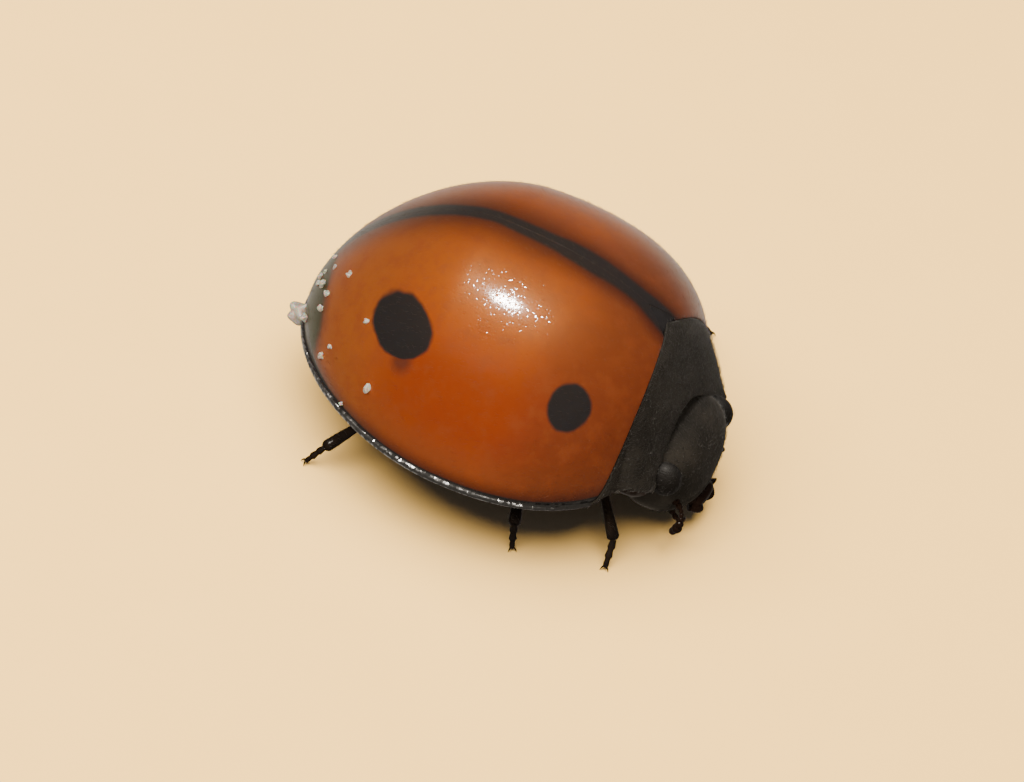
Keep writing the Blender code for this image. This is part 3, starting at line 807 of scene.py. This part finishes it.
# a blocky ellipsoid; the brow dips between the eyes, a groove parts the brow from the
# muzzle, and the muzzle stands a little forward, each by a bell curve across and up
def headRings():
    shape = headShape
    rings = blockRings(**shape["block"])
    y, z = rings[..., 1], rings[..., 2]
    forward = np.clip((rings[..., 0] - shape["faceFrom"]) / shape["faceDepth"], 0, 1)
    groove, dip, muzzle = shape["groove"], shape["browDip"], shape["muzzle"]
    grooveHeight = groove["at"] + groove["sag"] * y ** 2
    sunk = groove["depth"] * np.exp(-((z - grooveHeight) / groove["halfHeight"]) ** 2)
    sunk = sunk + dip["depth"] * np.exp(
        -(y / dip["halfWidth"]) ** 2 - ((z - dip["at"]) / dip["halfHeight"]) ** 2)
    raised = muzzle["depth"] * np.exp(
        -(y / muzzle["halfWidth"]) ** 4 - ((z - muzzle["at"]) / muzzle["halfHeight"]) ** 2)
    rings[..., 0] += forward * (raised - sunk)
    return rings


headGrid = headRings()
loftPiece("headCapsule", headGrid, headFinish, "pronotum_chitin", ("head",))

eyeShape = {"centre": (4.085, 0.585, 0.12), "radii": (0.165, 0.145, 0.18)}
eyeGrids = []
for side, name in ((1, "Left"), (-1, "Right")):
    centre = np.array(eyeShape["centre"]) * (1, side, 1)
    eyeGrids.append((blockRings(centre, eyeShape["radii"]), centre))
    loftPiece("eye" + name, eyeGrids[-1][0], eyeFinish, "eye_facets", ("eye_" + name.lower(),))

mouthShape = {
    "labrum": {"centre": (4.265, 0.0, -0.39), "radii": (0.10, 0.20, 0.07), "power": 2.6},
    "jaw": ((4.26, 0.20, -0.42), (4.33, 0.13, -0.46), (4.32, 0.03, -0.49)),
    "jawRadius": ((0.0, 0.05), (0.5, 0.045), (1.0, 0.012)),
    "jawRows": 24,
    # each palp has two short joints and a last one spread like a hatchet
    "palp": ((4.10, 0.32, -0.42), (4.20, 0.35, -0.49), (4.28, 0.35, -0.52)),
    "palpRadius": ((0.0, 0.030), (0.22, 0.040), (0.30, 0.024), (0.48, 0.038), (0.56, 0.024),
                   (0.92, 0.075), (1.0, 0.05)),
    "palpRows": 48, "palpColumns": 20, "palpFlatness": 0.55,
}
loftPiece("upperLip", blockRings(**mouthShape["labrum"]), feelerFinish, "feeler_chitin", ("labrum",))
for side, name in ((1, "Left"), (-1, "Right")):
    flip = np.array([1, side, 1])
    rows = mouthShape["jawRows"]
    path = smoothPath(mouthShape["jaw"], rows) * flip
    rings = tubeRings(path, radiusProfile(mouthShape["jawRadius"], rows))
    loftPiece("jaw" + name, rings, feelerFinish, "feeler_chitin")
    rows = mouthShape["palpRows"]
    path = smoothPath(mouthShape["palp"], rows) * flip
    rings = tubeRings(path, radiusProfile(mouthShape["palpRadius"], rows),
                      mouthShape["palpColumns"], mouthShape["palpFlatness"])
    loftPiece("palp" + name, rings, feelerFinish, "feeler_chitin", ("palp_" + name.lower(),))

antennaShape = {
    # routes from the socket beside the eye to the tip
    "Right": ((4.17, -0.47, -0.16), (4.31, -0.58, -0.20), (4.33, -0.63, -0.33), (4.25, -0.57, -0.49)),
    "Left": ((4.14, 0.50, -0.26), (4.20, 0.66, -0.34), (4.08, 0.76, -0.42), (3.90, 0.80, -0.44)),
    # eight joints: a stout scape, a round pedicel, three slender ones, a club of three
    "joints": ((0.0, 0.16, 0.042), (0.16, 0.26, 0.034), (0.26, 0.37, 0.022), (0.37, 0.46, 0.023),
               (0.46, 0.55, 0.026), (0.55, 0.69, 0.040), (0.69, 0.85, 0.050), (0.85, 1.0, 0.040)),
    "neck": 0.55,  # how far each joint narrows at its ends
    "tipFrom": 0.985, "tip": 0.75,  # the last rings are drawn in by this share
    "rows": 130, "columns": 18,
}


# radius along the feeler: a rounded swelling for each joint, with necks between them
def antennaRadius():
    shape = antennaShape
    t = np.linspace(0, 1, shape["rows"])
    radius = np.zeros(shape["rows"])
    for start, end, widest in shape["joints"]:
        share = np.clip((t - start) / (end - start), 0, 1)
        swelling = shape["neck"] + (1 - shape["neck"]) * np.sin(math.pi * share ** 0.85) ** 0.5
        radius = np.where((t >= start) & (t <= end), widest * swelling, radius)
    return radius * np.where(t > shape["tipFrom"], shape["tip"], 1.0)


for name in ("Left", "Right"):
    path = smoothPath(antennaShape[name], antennaShape["rows"])
    rings = tubeRings(path, antennaRadius(), antennaShape["columns"])
    loftPiece("antenna" + name, rings, feelerFinish, "feeler_chitin", ("antenna_" + name.lower(),))
print("head made")


legShape = {
    # hip, knee, ankle and toe of each leg, y outwards; feet stand on the floor
    "HindRight": ((1.90, 0.45, -0.15), (1.32, 0.82, -0.17), (0.92, 1.43, -0.50), (0.80, 1.54, -0.65)),
    "MidRight": ((2.55, 0.30, -0.20), (2.76, 0.88, -0.18), (2.97, 1.46, -0.41), (3.01, 1.51, -0.65)),
    "ForeRight": ((3.15, 0.28, -0.20), (3.47, 0.67, -0.10), (3.85, 1.05, -0.45), (3.88, 1.23, -0.65)),
    "HindLeft": ((1.90, 0.45, -0.15), (1.32, 0.86, -0.17), (0.93, 1.46, -0.50), (0.80, 1.62, -0.65)),
    "MidLeft": ((2.55, 0.30, -0.20), (2.70, 1.02, -0.18), (2.72, 1.60, -0.42), (2.74, 1.82, -0.65)),
    "ForeLeft": ((3.15, 0.28, -0.20), (3.24, 1.38, -0.08), (3.20, 2.28, -0.38), (3.24, 2.53, -0.65)),
    "femur": ((0.0, 0.050), (0.12, 0.075), (0.55, 0.105), (0.88, 0.070), (1.0, 0.046)),
    "tibia": ((0.0, 0.034), (0.08, 0.044), (0.5, 0.046), (0.86, 0.060), (0.96, 0.062), (1.0, 0.038)),
    "tarsus": ((0.0, 0.030), (0.28, 0.038), (0.36, 0.029), (0.62, 0.038), (0.72, 0.025),
               (0.90, 0.028), (1.0, 0.024)),
    "bow": {"femur": 0.05, "tibia": 0.0, "tarsus": 0.0},  # the middle's rise over a straight line
    "rows": 44, "columns": 20, "flatness": 0.85,
    "coxa": {"radii": (0.17, 0.20, 0.11), "power": 2.2, "rows": 16, "columns": 24}, "coxaRise": 0.02,
}
clawShape = {
    "length": 0.055, "radius": 0.011, "tipRadius": 0.002, "forward": 0.62, "sideways": 0.78,
    "rise": 0.055, "hook": 0.085, "rows": 14, "columns": 10,
}


# one limb segment: a tube along a slightly bowed line between two joints
def limbRings(start, end, part):
    rows = legShape["rows"]
    middle = (start + end) / 2 + np.array([0, 0, legShape["bow"][part]])
    return tubeRings(smoothPath((start, middle, end), rows), radiusProfile(legShape[part], rows),
                     legShape["columns"], legShape["flatness"])


# two claws, spread to either side of the foot along a parabola that rises and hooks down
def clawLofts(toe, outward):
    shape = clawShape
    lofts = []
    along = np.linspace(0, 1, shape["rows"])[:, None]
    sideways = np.cross(outward, (0, 0, 1))
    height = np.array([0, 0, 1.0]) * (shape["rise"] * along - shape["hook"] * along ** 2)
    radii = shape["radius"] * (1 - along[:, 0] ** 1.6) + shape["tipRadius"]
    for side in (1, -1):
        spread = (outward * shape["forward"] + sideways * shape["sideways"] * side) * shape["length"]
        lofts.append(tubeRings(toe + spread * along + height, radii, shape["columns"]))
    return lofts


legGrids = []
for name in ("ForeLeft", "ForeRight", "MidLeft", "MidRight", "HindLeft", "HindRight"):
    side = 1 if name.endswith("Left") else -1
    node = name.replace("Left", "_left").replace("Right", "_right").lower()
    hip, knee, ankle, toe = (np.array(joint) * (1, side, 1) for joint in legShape[name])
    rings = blockRings(hip + (0, 0, legShape["coxaRise"]), **legShape["coxa"])
    loftPiece("coxa" + name, rings, legFinish, "leg_chitin")
    for part, start, end in (("femur", hip, knee), ("tibia", knee, ankle), ("tarsus", ankle, toe)):
        rings = limbRings(start, end, part)
        loftPiece(part + name, rings, legFinish, "leg_chitin", (f"{part}_{node}",))
        if part != "tarsus":
            legGrids.append(rings)
    outward = (toe - ankle) * (1, 1, 0)
    outward = outward / np.linalg.norm(outward)
    loftsPiece("claws" + name, clawLofts(toe, outward), legFinish, "leg_chitin")
print("legs made")


downShape = {
    "rings": 3, "sides": 3, "patch": 0.003,  # patch: size of each hair in the coat's own map
    "lie": (-1.0, 0.0, -0.15), "stray": 0.28,  # the way the hairs lie, and how they stray from it
    "lengthSpread": (0.65, 1.15), "liftSpread": (0.6, 1.4), "droop": 0.45, "rootDepth": 0.002,
    "tipShare": 0.25,  # the last ring's share of the root's radius
    # bare places: the wing cases' rim up to here, the head behind here, and its sides past here
    "rimBare": 0.09, "headFrom": 4.0, "faceHalfWidth": 0.56,
    "wingCase": {"count": 2400, "length": 0.050, "radius": 0.0008, "lift": 0.50},
    "neckShield": {"count": 4600, "length": 0.060, "radius": 0.0012, "lift": 0.60},
    "head": {"count": 1700, "length": 0.055, "radius": 0.0012, "lift": 0.50},
    "eye": {"count": 260, "length": 0.045, "radius": 0.0010, "lift": 0.80},
    "belly": {"count": 2600, "length": 0.070, "radius": 0.0014, "lift": 0.40},
    "leg": {"count": 150, "length": 0.045, "radius": 0.0012, "lift": 0.55},
}


# the points and map places of a few hairs: each is a thin three-sided spine rooted just under
# the skin, which leans back along it and curves down towards its tip
def hairSpines(root, normal, lie, length, lift, radius, rootUv):
    shape = downShape
    rings, sides, patch = shape["rings"], shape["sides"], shape["patch"]
    across = np.cross(normal, lie)
    points = np.zeros((len(root), rings * sides + 1, 3))
    uv = np.zeros((len(root), rings * sides + 1, 2))
    for ring in range(rings):
        t = ring / rings
        sunk = shape["rootDepth"] if ring == 0 else 0.0
        rise = length * lift * (t - shape["droop"] * t ** 2) - sunk
        centre = root + lie * length * t + normal * rise
        width = radius * (1 - (1 - shape["tipShare"]) * t ** 1.5)
        for step in range(sides):
            turn = 2 * math.pi * step / sides
            corner = ring * sides + step
            points[:, corner] = centre + (across * math.cos(turn) + normal * math.sin(turn)) * width
            uv[:, corner] = rootUv + (patch * (step / (sides - 1) - 0.5), patch * (t - 0.5))
    points[:, -1] = root + lie * length + normal * length * lift * (1 - shape["droop"])
    uv[:, -1] = rootUv + (0, patch / 2)
    return points.reshape(-1, 3), uv.reshape(-1, 2)


# hairs scattered evenly over grids of skin, each grid with its normals and its own strip of
# the coat's map; keep tells where the skin isn't bare
def down(name, grids, settings, finish, slotName, keep, seed):
    shape = downShape
    random = np.random.default_rng(seed)
    rings, sides, patch, count = shape["rings"], shape["sides"], shape["patch"], settings["count"]
    spines = []
    for number, (grid, normals) in enumerate(grids):
        corner = np.cross(grid[1:, :-1] - grid[:-1, :-1], grid[:-1, 1:] - grid[:-1, :-1])
        area = np.linalg.norm(corner, axis=-1)
        if keep is not None:
            area = area * keep(grid[:-1, :-1])
        cell = random.choice(area.size, count, p=area.ravel() / area.sum())
        row, column = np.unravel_index(cell, area.shape)
        a, b = random.random((2, count, 1))
        spots = [(row, column, (1 - a) * (1 - b)), (row, column + 1, (1 - a) * b),
                 (row + 1, column, a * (1 - b)), (row + 1, column + 1, a * b)]
        root = sum(grid[r, c] * weight for r, c, weight in spots)
        normal = sum(normals[r, c] * weight for r, c, weight in spots)
        normal /= np.linalg.norm(normal, axis=1, keepdims=True)
        lie = np.array(shape["lie"]) + random.normal(0, shape["stray"], (count, 3))
        lie -= normal * (lie * normal).sum(axis=1, keepdims=True)
        lie /= np.linalg.norm(lie, axis=1, keepdims=True)
        length = settings["length"] * random.uniform(*shape["lengthSpread"], (count, 1))
        lift = settings["lift"] * random.uniform(*shape["liftSpread"], (count, 1))
        place = np.concatenate([row[:, None] + a, column[:, None] + b], axis=1) / grid.shape[:2]
        rootUv = place * (1 - 2 * patch) / (len(grids), 1) + (number / len(grids), 0) + patch
        spines.append(hairSpines(root, normal, lie, length, lift, settings["radius"], rootUv))
    points, uv = (np.concatenate(part) for part in zip(*spines))
    step = np.arange(sides)
    last = (rings - 1) * sides
    tips = np.stack([last + step, last + (step + 1) % sides, np.full(sides, rings * sides)], axis=-1)
    triangles = np.concatenate([tips, [[2, 1, 0]]])  # the tip's, and the one that closes the root
    each = rings * sides + 1
    starts = np.arange(len(points) // each)[:, None, None] * each
    quads = (gridQuads(rings, sides, wrap=True)[None] + starts).reshape(-1, 4)
    piece(name, points, quads, (triangles[None] + starts).reshape(-1, 3), finish, slotName, uv=uv)


# bare places on the wing cases and on the head
def aboveRim(at):
    return at[..., 2] > downShape["rimBare"]


def onFace(at):
    return (at[..., 0] > downShape["headFrom"]) & (np.abs(at[..., 1]) < downShape["faceHalfWidth"])


def below(at):
    return at[..., 2] < 0.0


for side, (grid, normals) in cases.items():
    skin = [(grid[4:], normals[4:])]  # without the crowded rings at the tail tip
    down("downWingCase" + side, skin, downShape["wingCase"], amberHair, "elytron_chitin", aboveRim, 3)
skin = [(shieldOuter, shieldNormals)]
down("downNeckShield", skin, downShape["neckShield"], darkHair, "pronotum_chitin", None, 5)
skin = [(headGrid, outwardNormals(headGrid, headShape["block"]["centre"]))]
down("downHead", skin, downShape["head"], darkHair, "pronotum_chitin", onFace, 7)
skin = [(grid, outwardNormals(grid, centre)) for grid, centre in eyeGrids]
down("downEyes", skin, downShape["eye"], darkHair, "eye_facets", None, 8)
skin = [(grid, outwardNormals(grid, (grid[..., 0].mean(), 0, 0))) for grid in (abdomenRings, breastRings)]
down("downBelly", skin, downShape["belly"], darkHair, "sternite_chitin", below, 9)
skin = [(grid, outwardNormals(grid, grid.mean(axis=1, keepdims=True))) for grid in legGrids]
down("downLegs", skin, downShape["leg"], darkHair, "leg_chitin", None, 11)
print("down made")


# crumbs of wax on the tail and wing case, from the scale insects that it eats
waxShape = {
    # where each crumb sits, and its size
    "crumbs": ((0.05, -0.37, 0.03, 0.095), (0.19, -0.36, 0.56, 0.030), (0.29, -0.54, 0.64, 0.036),
               (0.41, -0.71, 0.70, 0.030), (0.41, -0.81, 0.58, 0.032), (0.25, -0.22, 0.74, 0.022),
               (0.34, -0.43, 0.80, 0.024), (0.58, -0.66, 0.99, 0.034), (1.02, -1.18, 0.98, 0.034),
               (0.70, -1.17, 0.49, 0.026), (0.62, -1.14, 0.32, 0.036), (1.28, -1.55, 0.53, 0.040),
               (1.02, -1.47, 0.14, 0.018), (0.20, -0.63, 0.23, 0.040), (0.20, -0.43, 0.53, 0.024),
               (0.23, -0.36, 0.64, 0.020)),
    "power": 2.2, "waves": 4, "waveDepth": 0.10, "rows": 26, "columns": 32,
}


# lumpy little blocks, each a blocky ellipsoid pushed about by a few sine waves
def waxLofts():
    shape = waxShape
    random = np.random.default_rng(21)
    lofts = []
    for x, y, z, size in shape["crumbs"]:
        stretch = random.uniform(0.75, 1.25, 3)
        rings = blockRings((0, 0, 0), stretch, shape["power"], shape["rows"], shape["columns"])
        directions = (shape["waves"], 3)
        waves = random.uniform(1.5, 4.5, directions) * random.choice((-1, 1), directions)
        swell = sum(np.sin(rings @ wave + random.uniform(0, 6)) for wave in waves)
        lofts.append(rings * (1 + shape["waveDepth"] * swell)[..., None] * size + (x, y, z))
    return lofts


loftsPiece("waxCrumbs", waxLofts(), waxFinish, "sternite_chitin")
print("wax made")


studio = {
    "floor": "ece0cc", "floorGrain": "dccdb2", "grainShare": 0.25, "grainSize": 10 / 9,  # millimetres
    "floorSize": 0.5, "world": "f8ecdc", "worldStrength": 0.13,
    # brightness of the surroundings and of the backdrop, which show in gloss alone; the backdrop
    # lies along backdropWay, and fades between these two cosines off it
    "surroundings": 0.25, "backdrop": 1.4, "backdropWay": (-0.245, 0.729, -0.639),
    "backdropFade": (0.4, 0.95),
    # each light: way to it, distance and size in metres, power in watts, colour
    "keyLight": ((-0.167, -0.075, 0.983), 0.045, 0.005, 0.120, "fff6ea"),
    "bodyLight": ((-0.22, -0.62, 0.75), 0.060, 0.030, 0.0325, "fff6ea"),
    "frontLight": ((0.80, -0.58, 0.12), 0.060, 0.040, 0.017, "fff6ea"),
    "backLight": ((0.10, 0.85, 0.50), 0.060, 0.040, 0.010, "e6edff"),
    "floorLight": ((-0.167, -0.075, 0.983), 0.045, 0.074, 0.147, "ffd278"),
}


# Card: pressed pulp, quite matt, with a faint cloudy grain
def floorPlane():
    material, tree, shader = newMaterial("matt_card", Roughness=0.9)
    grain = addNode(tree, "TexNoise", {
        "Vector": addNode(tree, "TexCoord", {}, "Object"), "Scale": 1 / (studio["grainSize"] * mm)})
    share = addNode(tree, "Math", {0: grain, 1: studio["grainShare"]}, operation="MULTIPLY")
    layColours(tree, shader, studio["floor"], [(studio["floorGrain"], share)])
    half = studio["floorSize"] / 2
    mesh = bpy.data.meshes.new("floor")
    z = cadBox[0][2]
    corners = [(-half, -half, z), (half, -half, z), (half, half, z), (-half, half, z)]
    mesh.from_pydata(corners, [], [(0, 1, 2, 3)])
    mesh.materials.append(material)
    made = bpy.data.objects.new("floor", mesh)
    bpy.context.scene.collection.objects.link(made)
    made.visible_glossy = made.visible_diffuse = False  # it neither lights the beetle nor shows in it
    return made


middle = Vector(origin + np.array([2.2, 0.0, 0.5]) * mm)  # roughly the body's centre


# a round soft light that faces the body
def areaLight(name):
    way, distance, size, power, colour = studio[name]
    light = bpy.data.lights.new(name, "AREA")
    light.shape, light.size, light.energy = "DISK", size, power
    light.color = hexColour(colour)[:3]
    made = bpy.data.objects.new(name, light)
    way = Vector(way).normalized()
    made.location = middle + way * distance
    made.rotation_euler = way.to_track_quat("Z", "Y").to_euler()
    bpy.context.scene.collection.objects.link(made)
    return made


# the light falls on the floor alone, or on all but the floor
def linkFloor(light, state):
    linked = bpy.data.collections.new(light.name + "Linked")
    linked.objects.link(floor)
    linked.collection_objects[0].light_linking.link_state = state
    light.light_linking.receiver_collection = linked


floor = floorPlane()
linkFloor(areaLight("floorLight"), "INCLUDE")
for name in ("keyLight", "bodyLight", "frontLight", "backLight"):
    light = areaLight(name)
    light.visible_diffuse = name != "keyLight"  # the key light gives the gloss its highlight
    light.visible_glossy = name == "keyLight"  # the others give the colours their light
    linkFloor(light, "EXCLUDE")
world = bpy.data.worlds.new("studio")
world.use_nodes = True
world.node_tree.nodes["Background"].inputs[0].default_value = hexColour(studio["world"])
bpy.context.scene.world = world

view = {
    "azimuth": 18.58, "elevation": 39.71, "roll": 11.10,  # degrees
    "width": 9.879, "lens": 600.0, "sensor": 36.0,  # width of the view at the body, in millimetres
    "lookAt": (1.8, 0.0, 0.0), "right": 0.335, "up": -0.257,  # the view's centre, from lookAt
}


def makeCamera():
    azimuth, elevation, roll = (math.radians(view[key]) for key in ("azimuth", "elevation", "roll"))
    back = Vector((math.sin(azimuth) * math.cos(elevation), -math.cos(azimuth) * math.cos(elevation),
                   math.sin(elevation)))
    level = Vector((math.cos(azimuth), math.sin(azimuth), 0))
    upright = back.cross(level)
    right = level * math.cos(roll) + upright * math.sin(roll)
    up = upright * math.cos(roll) - level * math.sin(roll)
    data = bpy.data.cameras.new("camera")
    data.lens, data.sensor_width = view["lens"], view["sensor"]
    distance = view["width"] * mm * view["lens"] / view["sensor"]
    data.clip_start, data.clip_end = distance * 0.02, distance * 20  # short of the body, and past it
    camera = bpy.data.objects.new("camera", data)
    centre = Vector(origin + np.array(view["lookAt"]) * mm) + (right * view["right"] + up * view["up"]) * mm
    axes = Matrix((right, up, back)).transposed().to_4x4()
    camera.matrix_world = Matrix.Translation(centre + back * distance) @ axes
    bpy.context.scene.collection.objects.link(camera)
    bpy.context.scene.camera = camera


# gloss shows dim surroundings and a bright backdrop beyond the beetle; neither lights the colours
def worldGloss(tree):
    way = addNode(tree, "TexCoord", {}, "Generated")
    facing = addNode(
        tree, "VectorMath", {0: way, 1: studio["backdropWay"]}, "Value", operation="DOT_PRODUCT")
    begins, full = studio["backdropFade"]
    share = addNode(tree, "MapRange", {
        "Value": facing, "From Min": begins, "From Max": full}, interpolation_type="SMOOTHSTEP")
    dim, bright, low = (studio[key] for key in ("surroundings", "backdrop", "worldStrength"))
    shown = addNode(tree, "Math", {0: share, 1: bright - dim, 2: dim - low}, operation="MULTIPLY_ADD")
    glossy = addNode(tree, "LightPath", {}, "Is Glossy Ray")
    strength = addNode(tree, "Math", {0: glossy, 1: shown, 2: low}, operation="MULTIPLY_ADD")
    tree.links.new(strength, tree.nodes["Background"].inputs[1])


makeCamera()
worldGloss(world.node_tree)
print("stage made")
